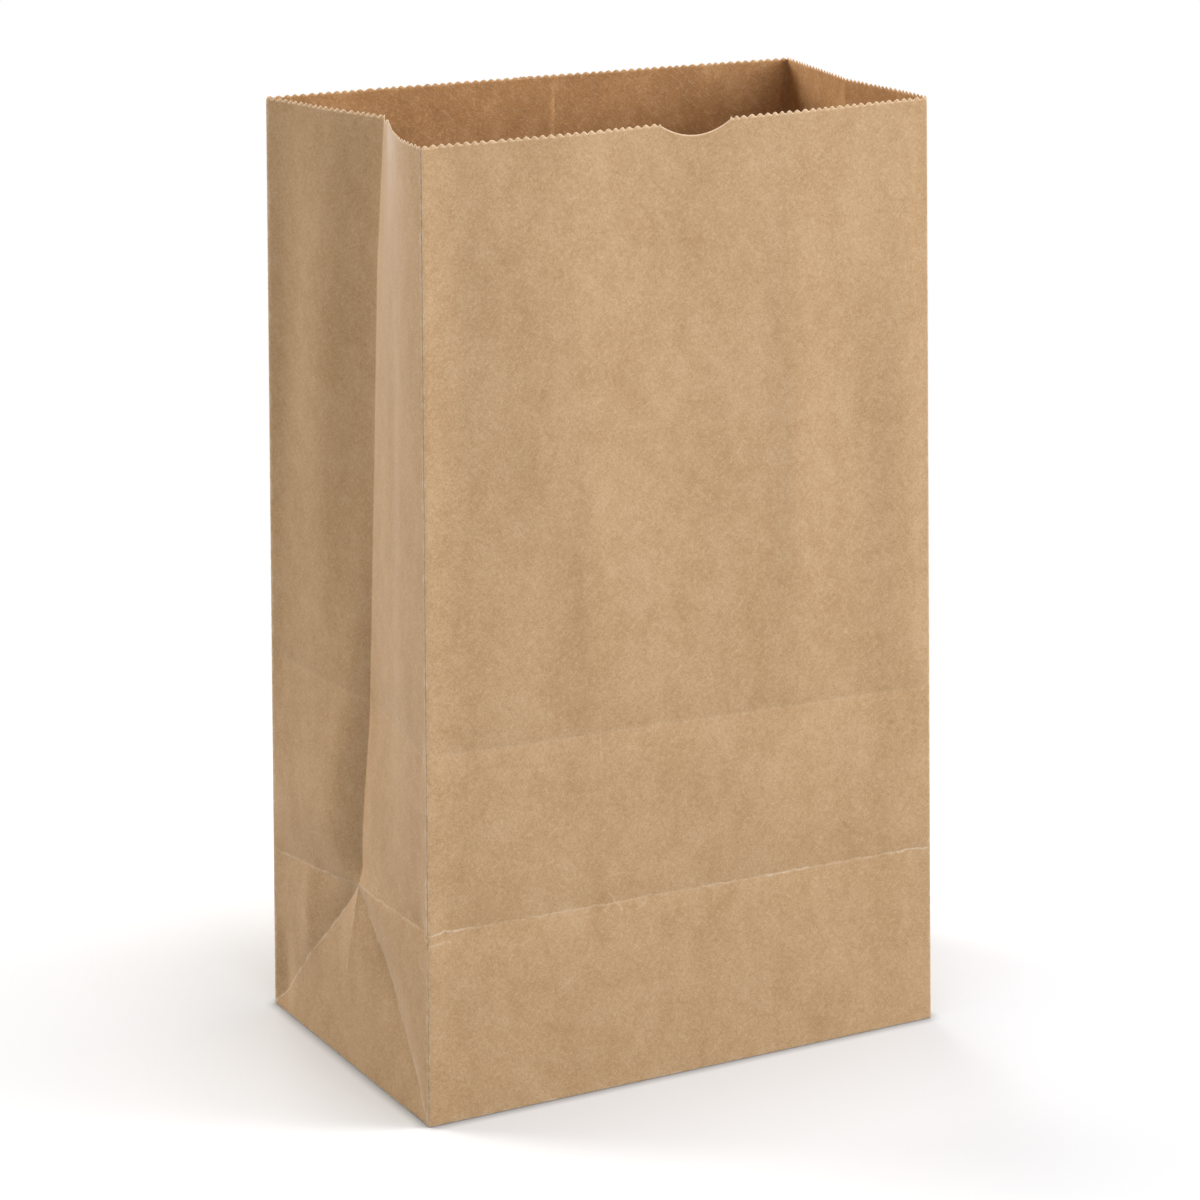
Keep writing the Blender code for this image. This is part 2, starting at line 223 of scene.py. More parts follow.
# How deep each half gusset is pressed in along its diagonal fold, at the foot and at the apex, the share
# of the fold at which it starts to deepen, and how far the paper bends towards it inside the triangle
# between the diagonals
Valley = namedtuple("Valley", "panel foot apex start inside")
VALLEYS = (
    Valley(LEFT_BACK, 0.0002, 0.0020, 0.42, 0.0090),
    Valley(LEFT_FRONT, 0.0014, 0.0020, 0.10, 0.0042),
    Valley(RIGHT_FRONT, 0.0005, 0.0012, 0.0, 0.0040),
    Valley(RIGHT_BACK, 0.0005, 0.0012, 0.0, 0.0040),
)
APEX_INSIDE = 0.0090  # the same at the apex, where both halves of a gusset meet
APEX_SPREAD = 7  # the bend widens to that of the apex in the last of this many parts of the fold
FOOT_SHARE = 0.25  # the part of the fold at its foot in which the press begins
VALLEY_OUTSIDE = 0.0060  # how far the paper bends towards the diagonal fold from above it

# The back half of the left gusset stands out in a shoulder before it falls to the middle fold, as
# (height, the shoulder's distance from the fold, how far it stands out)
LEFT_SHOULDER = (
    (LEFT_GUSSET_CREASES[0] - 0.0010, 0.0045, 0.0),
    (LEFT_GUSSET_CREASES[0] + 0.0015, 0.0060, 0.0011),
    (0.0555, 0.0115, 0.0025),
    (0.0640, 0.0150, 0.0032),
    (0.0820, 0.0128, 0.0029),
    (0.1020, 0.0085, 0.0018),
    (0.1200, 0.0065, 0.0008),
    (0.1550, 0.0060, 0.0),
)
FAR = 1.0  # as the distance from a fold that a panel doesn't have

# A groove pressed into the sheet along a line, from one (around, height) to another
Groove = namedtuple("Groove", "start end depth half_width")
GROOVE_END = 3  # how many half widths away a groove is no longer felt

# A short worn line, from one (around, height) to another, and how pale it is
Wear = namedtuple("Wear", "start end width strength")

# How pale the first crease is rubbed: the front panel's lengths of it, as (end along the panel, strength)
FIRST_CREASE_RUBS = (
    (0.0130, 0.80),
    (0.0300, 0.25),
    (0.0520, 0.50),
    (0.0620, 0.35),
    (0.0790, 0.28),
    (0.0900, 0.55),
    (0.1010, 0.35),
    (0.1130, 0.90),
    (0.1380, 0.40),
    (0.1520, 0.90),
)
PLAIN_RUB = 0.45  # the other panels' lengths of it
SECOND_RUB = 0.10  # the second crease
FOLD_RUB = 0.70  # the square folds, the diagonals and the base's folds

# How a distance counts beside a fold: over 1 the rubbed line is narrower, and under 1 it is wider
WALL_CORNER_SHARE = 1.3
GUSSET_CORNER_SHARE = 0.5
DIAGONAL_SHARE = 1.4


def mix(start, end, share):
    return start + (end - start) * share


def smooth(share):
    """A share that eases in and out between 0 and 1."""
    share = min(max(share, 0.0), 1.0)
    return share * share * (3 - 2 * share)


def crease_height(panel, along, which):
    return mix(panel.start.creases[which], panel.end.creases[which], along / panel.length)


def tuck_at(fold, height):
    """How far a gusset's middle fold is tucked in at a height."""
    for (low, low_tuck), (high, high_tuck) in zip(fold.tucks, fold.tucks[1:]):
        if height <= high:
            return mix(low_tuck, high_tuck, (height - low) / (high - low))
    return fold.tucks[-1][1]


def fold_point(fold, height):
    rise = height / HEIGHT
    return Vector((
        fold.foot[0] + fold.lean[0] * rise + fold.inward * tuck_at(fold, height),
        fold.foot[1] + fold.lean[1] * rise,
        height,
    ))


def triangle_tuck(panel, along, up):
    """What the gusset's diagonal fold adds, below the first crease, to a wall ruled straight across."""
    if panel.middle is None or up >= 1:
        return Vector((0, 0, 0))
    share = along / panel.length
    middle, from_corner = (panel.end, share) if panel.middle == "end" else (panel.start, 1 - share)
    deeper = middle.tucks[1][1] * (min(from_corner, up) - from_corner * up)
    return Vector((middle.inward * deeper, 0, 0))


def crease_pinch(panel, along, height):
    """How far the wall is drawn in beside a crease. The upright folds stay straight."""
    pinch = 0.0
    for which, depth in enumerate(CREASE_PINCHES):
        away = abs(height - crease_height(panel, along, which)) / CREASE_REACH
        pinch += depth * math.exp(-away)
    return pinch * smooth(min(along, panel.length - along) / WAVE_FADE)


def distance_to_line(point, start, end):
    line = Vector(end) - Vector(start)
    reach = Vector(point) - Vector(start)
    share = min(max(reach.dot(line) / line.dot(line), 0.0), 1.0)
    return (reach - line * share).length


def from_diagonal(panel, along, height):
    """How far a point of the flat sheet lies above its gusset's diagonal, and its share of the way up it."""
    if panel.middle is None:
        return FAR, 0.0
    first = crease_height(panel, along, 0)
    share = along / panel.length if panel.middle == "end" else 1 - along / panel.length
    return (height / first - share) * first * math.sqrt(0.5), share


def valley_depth(panel, along, height):
    """How deep a gusset is pressed in along its diagonal fold, below the first crease and just above it."""
    above, share = from_diagonal(panel, along, height)
    for valley in VALLEYS:
        if valley.panel is panel:
            inside = mix(valley.inside, APEX_INSIDE, smooth(APEX_SPREAD * (share - 1) + 1))
            width = VALLEY_OUTSIDE if above > 0 else inside
            deepening = smooth((share - valley.start) / (1 - valley.start))
            depth = mix(valley.foot, valley.apex, deepening) * smooth(share / FOOT_SHARE)
            return depth * math.exp(-abs(above) / width)
    return 0.0


def shoulder_rise(panel, along, height):
    """How far the shoulder beside the left gusset's middle fold stands out."""
    if panel is not LEFT_BACK:
        return 0.0
    from_middle = panel.length - along
    for (low, low_width, low_rise), (high, high_width, high_rise) in zip(LEFT_SHOULDER, LEFT_SHOULDER[1:]):
        if low <= height <= high:
            share = (height - low) / (high - low)
            width = mix(low_width, high_width, share)
            rise = mix(low_rise, high_rise, share)
            if from_middle <= width:
                return rise * math.sin(math.pi / 2 * from_middle / width)
            return rise * along / (panel.length - width)
    return 0.0


GROOVES = (
    Groove((-0.0740, 0.0440), (-0.0745, 0.0240), -0.0011, 0.0036),
    Groove((-DEPTH / 2, LEFT_GUSSET_CREASES[0]), (-DEPTH / 2 - 0.0030, 0.0255), -0.0003, 0.0012),
    Groove((-0.0075, 0.0535), (-0.0008, 0.0490), 0.0009, 0.0016),
    Groove((-0.0340, 0.0345), (-0.0260, 0.0265), 0.0008, 0.0030),
    Groove((-0.0040, 0.0960), (-0.0005, 0.0930), 0.0003, 0.0012),
    Groove((0.0524, 0.0545), (0.0563, 0.0488), -0.0002, 0.0010),
)


def groove_depth(around, height):
    """How deep the listed lines are pressed in. A negative depth is a ridge."""
    total = 0.0
    for groove in GROOVES:
        away = distance_to_line((around, height), groove.start, groove.end) / groove.half_width
        if away < GROOVE_END:
            total += groove.depth * math.exp(-away)
    return total


def wave_height(panel, along, height):
    """How far the paper stands out between its folds: the panel's swells, and small random waves."""
    if panel is BACK_INNER:
        panel = BACK_OUTER  # both ends of the sheet wave together where they are glued
    rise = 0.0
    for swell in SWELLS:
        if swell.panel is panel:
            across = (along - swell.middle[0]) / swell.half_size[0]
            up = (height - swell.middle[1]) / swell.half_size[1]
            rise += swell.rise * math.exp(-across * across - up * up)
    around = panel.around + along
    long_spot = Vector((around / LONG_WAVE_SIZE[0], height / LONG_WAVE_SIZE[1], LONG_WAVE_SEED))
    short_spot = Vector((around / SHORT_WAVE_SIZE[0], height / SHORT_WAVE_SIZE[1], SHORT_WAVE_SEED))
    rise += LONG_WAVE * noise.noise(long_spot)
    rise += SHORT_WAVE * noise.fractal(short_spot, *SHORT_WAVE_FRACTAL)
    near_fold = smooth(min(along, panel.length - along) / WAVE_FADE)
    near_base = smooth(height / WAVE_FADE)
    return rise * near_fold * near_base


def fold_round(distance):
    """How far a panel's face falls away beside a rounded square fold."""
    if distance >= FOLD_RADIUS:
        return 0.0
    if distance <= 0:
        return FOLD_RADIUS * (1 - math.sqrt(0.5))
    return FOLD_RADIUS - math.sqrt(FOLD_RADIUS ** 2 - (FOLD_RADIUS - distance) ** 2)


def rounding(panel, along):
    """The fall of the face beside the panel's square corners. On a corner it points to the bag's middle."""
    fall = Vector((0, 0, 0))
    for corner, distance in ((panel.start, along), (panel.end, panel.length - along)):
        if corner not in SQUARE_CORNERS:
            continue
        if distance <= 0:
            side = Vector((math.copysign(1, corner.foot[0]), math.copysign(1, corner.foot[1]), 0))
            fall -= side * fold_round(0)
        else:
            fall -= panel.outward * fold_round(distance)
    return fall


def bow(panel, along, height):
    """How far the panel bows out, most at the mouth."""
    first = crease_height(panel, along, 0)
    if height <= first:
        return 0.0
    opened = ((height - first) / (HEIGHT - first)) ** 2
    return panel.bow * opened * math.sin(math.pi * (along / panel.length) ** panel.skew)


def sheet_point(column, height):
    """A point of the paper's outer face, folded into place."""
    panel = column.panel
    along = column.along
    first = crease_height(panel, along, 0)
    point = fold_point(panel.start, height).lerp(fold_point(panel.end, height), along / panel.length)
    point += triangle_tuck(panel, along, height / first)
    place = (panel, along, height)
    outward = bow(*place) + wave_height(*place) + shoulder_rise(*place)
    outward -= groove_depth(panel.around + along, height) + valley_depth(*place)
    outward -= crease_pinch(*place)
    point += panel.outward * (outward + column.raised * PAPER) + rounding(panel, along)
    if height < FOLD_RADIUS:
        toe = fold_round(height)
        point -= panel.outward * toe
        point.z = max(height, toe + LIFT)
    return point


def teeth_in(panel):
    return round(panel.length / TOOTH_PITCH)


def tooth_rise(panel, along):
    """How far the cut edge rises above the hollows: rounded teeth, no two quite alike."""
    around = panel.around + along
    from_end = min(along, panel.length - along)
    drift = TOOTH_DRIFT * noise.noise(Vector((around, 0.0, DRIFT_SEED)) / TOOTH_DRIFT_REACH)
    phase = along / panel.length * teeth_in(panel) + drift * smooth(from_end / TOOTH_DRIFT_REACH)
    rounded = 0.5 - 0.5 * math.cos(2 * math.pi * phase)
    uneven = 1 + TOOTH_UNEVENNESS * noise.noise(Vector((around, 0.0, UNEVEN_SEED)) / TOOTH_PITCH)
    share = BACK_TOOTH_SHARE if panel in (BACK_INNER, BACK_OUTER) else 1.0
    return TOOTH_DEPTH * share * rounded ** TOOTH_FULLNESS * min(uneven, 1.0)


def mouth_height(panel, along):
    """The height of the cut edge: the teeth, or the thumb notch's arc."""
    if panel is FRONT:
        across = (along - panel.length / 2 - NOTCH_OFFSET) / (NOTCH_WIDTH / 2)
        if abs(across) < 1:
            return HEIGHT - TOOTH_DEPTH - NOTCH_DEPTH * (1 - across * across)
    rise = tooth_rise(panel, along)
    if panel is LEFT_FRONT:
        rise -= END_DIP * smooth(1 - along / END_DIP_REACH)
        if along < END_TOOTH:
            rise = mix(rise, TOOTH_DEPTH, smooth(2 - 2 * along / END_TOOTH))
        if TORN_TEETH[0] < along < TORN_TEETH[1]:
            rise += TORN_DEPTH * noise.noise(Vector((along, 0.0, TORN_SEED)) / TORN_PITCH)
    return HEIGHT - TOOTH_DEPTH + min(rise, TOOTH_DEPTH)


def stations(panel):
    """How far along a panel its columns stand: one at each hollow between teeth, some beside the folds."""
    count = teeth_in(panel)
    pitch = panel.length / count
    even = [pitch * i for i in range(count + 1)]
    return sorted([*even, *BESIDE_FOLD, *(panel.length - distance for distance in BESIDE_FOLD)])


def lap_raise(along):
    """How many papers the sheet's outer end is raised as it climbs onto the inner one."""
    return LAYER_PAPERS * smooth((along - LAP_START + LAP_RAMP) / LAP_RAMP)


def columns_along():
    """Every column of the open sheet, from its inner end, round the bag, to its outer end on the lap."""
    columns = []
    for panel in SHEET:
        kept = stations(panel)
        if panel is BACK_INNER:
            kept = [LAP_START] + [along for along in kept if along > LAP_START + BESIDE_FOLD[1]]
        if panel is BACK_OUTER:
            kept = [along for along in kept if along < LAP_END - BESIDE_FOLD[1]] + [LAP_END]
        else:
            kept = kept[:-1]
        for along in kept:
            raised = lap_raise(along) if panel is BACK_OUTER else 0.0
            columns.append(Column(panel, along, raised))
    return columns


def lower_shares():
    """The rows below the first crease match a half gusset's columns, so that its diagonal meets them."""
    return [along / LEFT_BACK.length for along in stations(LEFT_BACK)]


def between_creases(length):
    """Even shares of a band, with rows close beside its two ends."""
    count = round(length / ROW)
    even = [i / count for i in range(1, count)]
    beside = [distance / length for distance in BESIDE_FOLD]
    return sorted([0.0] + even + beside + [1 - share for share in beside])


def row_heights(column):
    """The heights of a column's rows, from the base's fold to the band that carries the teeth."""
    first = crease_height(column.panel, column.along, 0)
    second = crease_height(column.panel, column.along, 1)
    top = HEIGHT - RIM_BAND
    heights = [first * share for share in lower_shares()[:-1]]
    heights += [mix(first, second, share) for share in between_creases(DEPTH / 2)]
    heights += [mix(second, top, share) for share in between_creases(HEIGHT - DEPTH - RIM_BAND)]
    return heights + [top]


def from_fold(panel, along, height):
    """The distance on the flat sheet to the nearest square fold, base fold or diagonal, as it counts for
    the rubbed lines. Beside the square folds a gusset is rubbed wider than the front or the back."""
    corner_share = WALL_CORNER_SHARE if panel.middle is None else GUSSET_CORNER_SHARE
    distances = [abs(height)]
    if panel.start in SQUARE_CORNERS:
        distances.append(along * corner_share)
    if panel.end in SQUARE_CORNERS:
        distances.append((panel.length - along) * corner_share)
    if 0 <= height <= crease_height(panel, along, 0):
        distances.append(abs(from_diagonal(panel, along, height)[0]) * DIAGONAL_SHARE)
    return min(distances)


def rub_of_first_crease(panel, along):
    """How pale the first crease is rubbed here: on the front in lengths, as the photograph shows."""
    if panel is not FRONT:
        return PLAIN_RUB
    for end, strength in FIRST_CREASE_RUBS:
        if along <= end:
            return strength
    return FIRST_CREASE_RUBS[-1][1]


class SheetMesh:
    """Collects the sheet's points and faces, with where each point lies on the flat sheet."""

    def __init__(self):
        self.bm = bmesh.new()
        self.flat = {}
        self.folds = []

    def point(self, place, column, height, below_cut):
        vertex = self.bm.verts.new(place)
        self.flat[vertex] = (column, height, below_cut)
        return vertex

    def face(self, corners):
        self.bm.faces.new(corners).smooth = True

    def on_wall(self, column, height):
        cut = mouth_height(column.panel, column.along) - height
        return self.point(sheet_point(column, height), column, height, cut)

    def to_mesh(self, name):
        """The finished mesh. Its maps tell the material where each point lies on the flat sheet: its
        place, its heights above the two creases, its distances from the cut and from a fold, and how
        the first crease is rubbed there."""
        names = ("sheet", "creases", "edges", "rubbing")
        layers = [self.bm.loops.layers.uv.new(name) for name in names]
        for vertex in self.bm.verts:
            column, height, below_cut = self.flat[vertex]
            panel = column.panel
            along = column.along
            values = (
                (panel.around + along, height),
                (height - crease_height(panel, along, 0), height - crease_height(panel, along, 1)),
                (below_cut, from_fold(panel, along, height)),
                (rub_of_first_crease(panel, along), 0.0),
            )
            for loop in vertex.link_loops:
                for layer, value in zip(layers, values):
                    loop[layer].uv = value
        for edge in self.folds:
            edge.smooth = False
        mesh = bpy.data.meshes.new(name)
        self.bm.to_mesh(mesh)
        self.bm.free()
        return mesh


def diagonal_of(panel, index, row):
    """Whether the gusset's diagonal fold crosses this cell of the grid, and if so which way."""
    cells = len(lower_shares()) - 1  # from the base to the first crease
    if panel.middle == "end" and index == row < cells:
        return "rising"
    if panel.middle == "start" and index == cells - 1 - row and row < cells:
        return "falling"
    return None


def add_cell(sheet, corners, diagonal):
    """One cell of the grid, anticlockwise from its lower left, in two faces where a fold crosses it."""
    a, b, c, d = corners
    if diagonal == "rising":
        sheet.face((a, b, c))
        sheet.face((a, c, d))
        sheet.folds.append(sheet.bm.edges.get((a, c)))
    elif diagonal == "falling":
        sheet.face((a, b, d))
        sheet.face((b, c, d))
        sheet.folds.append(sheet.bm.edges.get((b, d)))
    else:
        sheet.face(corners)


def add_walls(sheet, columns):
    """The walls, up to the band that carries the teeth. Returns the grid of points, column by column."""
    grid = [[sheet.on_wall(column, height) for height in row_heights(column)] for column in columns]
    index = 0
    for i in range(len(columns) - 1):
        panel = columns[i].panel
        for row in range(len(grid[i]) - 1):
            corners = (grid[i][row], grid[i + 1][row], grid[i + 1][row + 1], grid[i][row + 1])
            add_cell(sheet, corners, diagonal_of(panel, index, row))
        index = index + 1 if columns[i + 1].panel is panel else 0
    return grid


def tooth_columns(column, following):
    """The fine columns between two columns of the grid, which shape the teeth."""
    panel = column.panel
    end = following.along if following.panel is panel else panel.length
    step = panel.length / teeth_in(panel) / POINTS_PER_TOOTH
    found = []
    for i in range(math.floor(column.along / step), math.ceil(end / step)):
        along = step * i
        if column.along + step * LEAST_STEP < along < end - step * LEAST_STEP:
            share = (along - column.along) / (end - column.along)
            found.append(Column(panel, along, mix(column.raised, following.raised, share)))
    return found


def add_rim(sheet, columns, grid):
    """The toothed band: faces that fan out from the grid to the fine columns, then a strip to the cut."""
    def fray_and_cut(column):
        top = mouth_height(column.panel, column.along)
        base = min(top, HEIGHT - TOOTH_DEPTH) - FRAY_BAND
        return sheet.on_wall(column, base), sheet.on_wall(column, top)

    corner_pairs = [fray_and_cut(column) for column in columns]
    for i in range(len(columns) - 1):
        fine = [fray_and_cut(column) for column in tooth_columns(columns[i], columns[i + 1])]
        strip = [corner_pairs[i], *fine, corner_pairs[i + 1]]
        sheet.face([grid[i][-1], grid[i + 1][-1], *[pair[0] for pair in reversed(strip)]])
        for left, right in zip(strip, strip[1:]):
            sheet.face((left[0], right[0], right[1], left[1]))


def flap_point(column, reach):
    """A point of the folded base, a reach in from the fold at the foot of a wall."""
    panel = column.panel
    if panel is FRONT:
        level = 0.0
    elif panel in (BACK_INNER, BACK_OUTER):
        level = LAYER * (1 + column.raised)
    else:
        level = SIDE_FLAP_LEVEL * LAYER
    foot = Vector(panel.start.foot).lerp(Vector(panel.end.foot), column.along / panel.length)
    if panel in (FRONT, BACK_INNER, BACK_OUTER):
        narrowed = 1 - reach / (WIDTH / 2)
        x = foot.x * narrowed
        y = foot.y - math.copysign(reach, foot.y)
    else:
        x = foot.x - math.copysign(reach, foot.x)
        y = foot.y * (1 - SIDE_FLAP_TAPER * smooth(reach / FLAP_ROW))
    settled = smooth(reach / BESIDE_FOLD[1])
    return Vector((x, y, LIFT + fold_round(reach) + level * settled))


def add_flap(sheet, columns, feet):
    """One flap of the base, from the feet of the walls inwards, with a toothed end as the machine cuts it."""
    reaches = list(BESIDE_FOLD)
    count = round(FLAP_REACH / FLAP_ROW)
    reaches += [FLAP_REACH * i / count for i in range(1, count + 1)]
    rows = [feet]
    for reach in reaches:
        row = []
        for column in columns:
            tip = tooth_rise(column.panel, column.along + FLAP_TOOTH_SHIFT) if reach == FLAP_REACH else 0.0
            place = flap_point(column, reach + tip)
            row.append(sheet.point(place, column, -reach, FLAP_REACH - reach))
        rows.append(row)
    for lower, upper in zip(rows, rows[1:]):
        for i in range(len(columns) - 1):
            sheet.face((upper[i], upper[i + 1], lower[i + 1], lower[i]))


def add_base(sheet, columns, grid):
    """The flaps that the walls run on into, under the bag: one for each side of the base."""
    sides = ((BACK_INNER,), (LEFT_BACK, LEFT_FRONT), (FRONT,), (RIGHT_FRONT, RIGHT_BACK), (BACK_OUTER,))
    for side in sides:
        chosen = [i for i, column in enumerate(columns) if column.panel in side]
        members = [columns[i] for i in chosen]
        feet = [grid[i][0] for i in chosen]
        if side[-1] is not BACK_OUTER:
            members.append(Column(side[-1], side[-1].length, 0.0))
            feet.append(grid[chosen[-1] + 1][0])
        add_flap(sheet, members, feet)


def make_bag(materials):
    """The whole bag as one folded sheet with the paper's thickness."""
    sheet = SheetMesh()
    columns = columns_along()
    grid = add_walls(sheet, columns)
    add_rim(sheet, columns, grid)
    add_base(sheet, columns, grid)
    mesh = sheet.to_mesh("paper_bag_sheet")
    for material in materials:
        mesh.materials.append(material)
    bag = bpy.data.objects.new("paper_bag_sheet", mesh)
    bpy.context.scene.collection.objects.link(bag)
    paper = bag.modifiers.new("paper", "SOLIDIFY")
    paper.thickness = PAPER
    paper.offset = -1
    paper.material_offset = 1
    paper.material_offset_rim = 2
    return bag


FORKS_ALONG = 0.055  # where the front's first crease forks


def small_marks():
    """Short creases, given one by one: forks on the front's first crease, nicks on the folds, and faint
    lines.
    """
    first = crease_height(FRONT, FORKS_ALONG, 0)
    left_apex = (-DEPTH / 2, LEFT_GUSSET_CREASES[0])
    return (
        Wear(left_apex, (-DEPTH / 2 - 0.0030, 0.0255), 0.0004, 0.50),
        Wear((-DEPTH / 2 - 0.0016, 0.0494), (-DEPTH / 2 + 0.0016, 0.0490), 0.0012, 0.45),
        Wear((0.0524, first + 0.0030), (0.0563, first - 0.0026), 0.0003, 0.60),
        Wear((0.0512, first - 0.0012), (0.0524, first - 0.0036), 0.0003, 0.45),
        Wear((0.0636, first), (0.0630, first - 0.0020), 0.0003, 0.40),
        Wear((0.0008, 0.0490), (0.0068, 0.0492), 0.0005, 0.45),
        Wear((0.0503, 0.0860), (0.0500, 0.1020), 0.0004, 0.25),
        Wear((-0.0350, 0.1040), (-0.0010, 0.0965), 0.0005, 0.22),
        Wear((-0.0075, 0.0530), (0.0, 0.0475), 0.0005, 0.40),
        Wear((-0.0020, 0.0950), (0.0006, 0.0900), 0.0005, 0.35),
    )


# One size of the paper's mottling: how it is turned on the sheet, the length and width of its features, how
# its noise is made, and how much it counts in the paper's tone
Mottling = namedtuple("Mottling", "turn size detail roughness distortion share")
GRAIN = Mottling(0.4, (0.00050, 0.00042), 1.0, 0.5, 0.0, 0.30)
FELT = Mottling(-0.6, (0.00125, 0.00095), 2.0, 0.55, 1.6, 0.50)
CLOUDS = Mottling(0.2, (0.0055, 0.0075), 3.0, 0.55, 0.0, 0.30)
BROAD = Mottling(0.0, (0.018, 0.034), 2.0, 0.5, 0.0, 0.30)
MIDDLE_TONE = 0.5
GRAIN_HEIGHT = 0.3  # how much the grain and the felt raise the paper's surface
FELT_HEIGHT = 0.8

# Thin fibres that lie in the paper: how they are turned, their length and width, and the noise's level
# at which they begin to show
Fibres = namedtuple("Fibres", "turn size level")
PALE_FIBRES = Fibres(0.7, (0.0019, 0.00055), 0.58)
DARK_FIBRES = Fibres(1.9, (0.0017, 0.00050), 0.60)
FIBRE_EDGE = 0.14  # from where a fibre begins to show to where it shows in full
FIBRE_BEND = 1.5
FIBRE_STRENGTH = 0.30  # how much of its own colour a fibre shows

# Rubbed lines: half their width, and the part of it about the middle that is palest
FIRST_LINE = 0.00045
SECOND_LINE = 0.0010
FOLD_LINE = 0.0006
LINE_CORE = 0.2
WANDER = 0.0018  # how far a line strays to both sides together
WANDER_SCALE = 300.0  # of the noise that bends the lines
BREAK_SCALE = 520.0  # of the noise that breaks up the lines
BREAK_ROUGHNESS = 0.7
BREAKS = (0.34, 0.60, 0.25, 1.0)  # between these levels of it a line goes from faint to full

# The tones at which the paper shows its deep, middle and pale colour
DEEP_TONE = 0.30
PALE_TONE = 0.70


class Nodes:
    """Short forms for placing and joining shader nodes."""

    def __init__(self, tree):
        self.tree = tree

    def add(self, kind, **settings):
        node = self.tree.nodes.new(kind)
        for name, value in settings.items():
            setattr(node, name, value)
        return node

    def put(self, source, target):
        """Joins an output to an input, or sets the input where the source is a plain value."""
        if isinstance(source, bpy.types.NodeSocket):
            self.tree.links.new(source, target)
        else:
            target.default_value = source

    def math(self, operation, a, b=0.0, c=0.0, clamp=False):
        node = self.add("ShaderNodeMath", operation=operation, use_clamp=clamp)
        for source, target in zip((a, b, c), node.inputs):
            self.put(source, target)
        return node.outputs[0]

    def vector(self, operation, a, b=(0.0, 0.0, 0.0), scale=1.0):
        node = self.add("ShaderNodeVectorMath", operation=operation)
        self.put(a, node.inputs[0])
        if operation == "SCALE":
            self.put(scale, node.inputs["Scale"])
        elif operation != "LENGTH":
            self.put(b, node.inputs[1])
        return node.outputs["Value"] if operation in ("DOT_PRODUCT", "LENGTH") else node.outputs[0]

    def noise(self, place, scale, detail=2.0, roughness=0.5, distortion=0.0):
        node = self.add("ShaderNodeTexNoise")
        self.put(place, node.inputs["Vector"])
        self.put(scale, node.inputs["Scale"])
        self.put(detail, node.inputs["Detail"])
        self.put(roughness, node.inputs["Roughness"])
        self.put(distortion, node.inputs["Distortion"])
        return node.outputs[0]

    def ramp(self, value, low, high, low_out=0.0, high_out=1.0):
        """A straight ramp between two values, held at its ends."""
        node = self.add("ShaderNodeMapRange")
        for source, name in ((value, "Value"), (low, "From Min"), (high, "From Max")):
            self.put(source, node.inputs[name])
        self.put(low_out, node.inputs["To Min"])
        self.put(high_out, node.inputs["To Max"])
        return node.outputs[0]

    def blend(self, share, a, b):
        node = self.add("ShaderNodeMix", data_type="RGBA")
        self.put(share, node.inputs[0])
        self.put(a, node.inputs[6])
        self.put(b, node.inputs[7])
        return node.outputs[2]

    def sheet(self, name):
        return self.add("ShaderNodeUVMap", uv_map=name).outputs[0]

    def both(self, name):
        """The two values of one of the sheet's maps."""
        parts = self.add("ShaderNodeSeparateXYZ")
        self.put(self.sheet(name), parts.inputs[0])
        return parts.outputs[0], parts.outputs[1]


def node_group(name, inputs, outputs):
    """A node group with named sockets: {name: (kind, default)} in, {name: kind} out."""
    group = bpy.data.node_groups.new(name, "ShaderNodeTree")
    for socket, (kind, default) in inputs.items():
        made = group.interface.new_socket(socket, in_out="INPUT", socket_type="NodeSocket" + kind)
        if default is not None:
            made.default_value = default
    for socket, kind in outputs.items():
        group.interface.new_socket(socket, in_out="OUTPUT", socket_type="NodeSocket" + kind)
    nodes = Nodes(group)
    return group, nodes, nodes.add("NodeGroupInput").outputs, nodes.add("NodeGroupOutput").inputs


def stretched(nodes, place, angle, size):
    """The place on the sheet turned by an angle and measured in features of a length and a width."""
    turned = nodes.add("ShaderNodeMapping", vector_type="TEXTURE")
    nodes.put(place, turned.inputs["Vector"])
    turned.inputs["Rotation"].default_value = (0.0, 0.0, angle)
    turned.inputs["Scale"].default_value = (size[0], size[1], 1.0)
    return turned.outputs[0]


